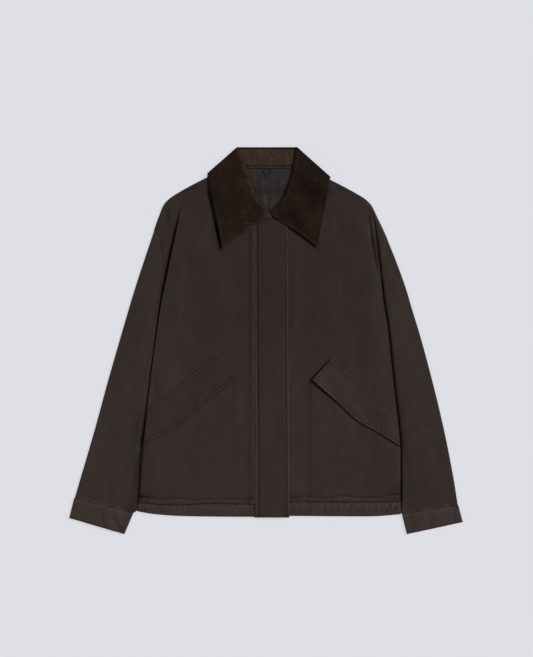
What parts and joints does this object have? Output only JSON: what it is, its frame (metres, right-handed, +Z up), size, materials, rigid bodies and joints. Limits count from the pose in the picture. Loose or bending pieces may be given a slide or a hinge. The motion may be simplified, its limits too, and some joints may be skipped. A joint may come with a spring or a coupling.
{
  "type": "nylon jacket",
  "caption": "Short work jacket of dark brown nylon with a corduroy collar, hidden front fastening, slanted flap pockets and buttonless cuffs, laid flat on its back.",
  "frame": {"origin": "middle of the laid jacket's outline, on the surface it lies on", "axes": "+X across the jacket to the viewer's right, +Y from hem to collar, +Z up out of the front"},
  "size_m": [0.729, 0.7171, 0.0129],
  "materials": {
    "nylon": "satin",
    "trim": "satin",
    "corduroy": "matte",
    "lining": "satin"
  },
  "bodies": {
    "root": {"back": "nylon", "back_lining": "lining", "collar_fall": "corduroy", "collar_stand": "corduroy", "cuff_left": "nylon", "cuff_right": "nylon", "flap_left": "nylon", "flap_right": "nylon", "fly_placket": "nylon", "front_left": "nylon", "front_right": "nylon", "hanger_loop": "trim", "hem_back": "nylon", "hem_front_left": "nylon", "hem_front_right": "nylon", "neck_binding": "trim", "neck_tab": "trim", "pocket_left": "nylon", "pocket_right": "nylon", "sleeve_left": "nylon", "sleeve_right": "nylon"}
  },
  "joints": []
}
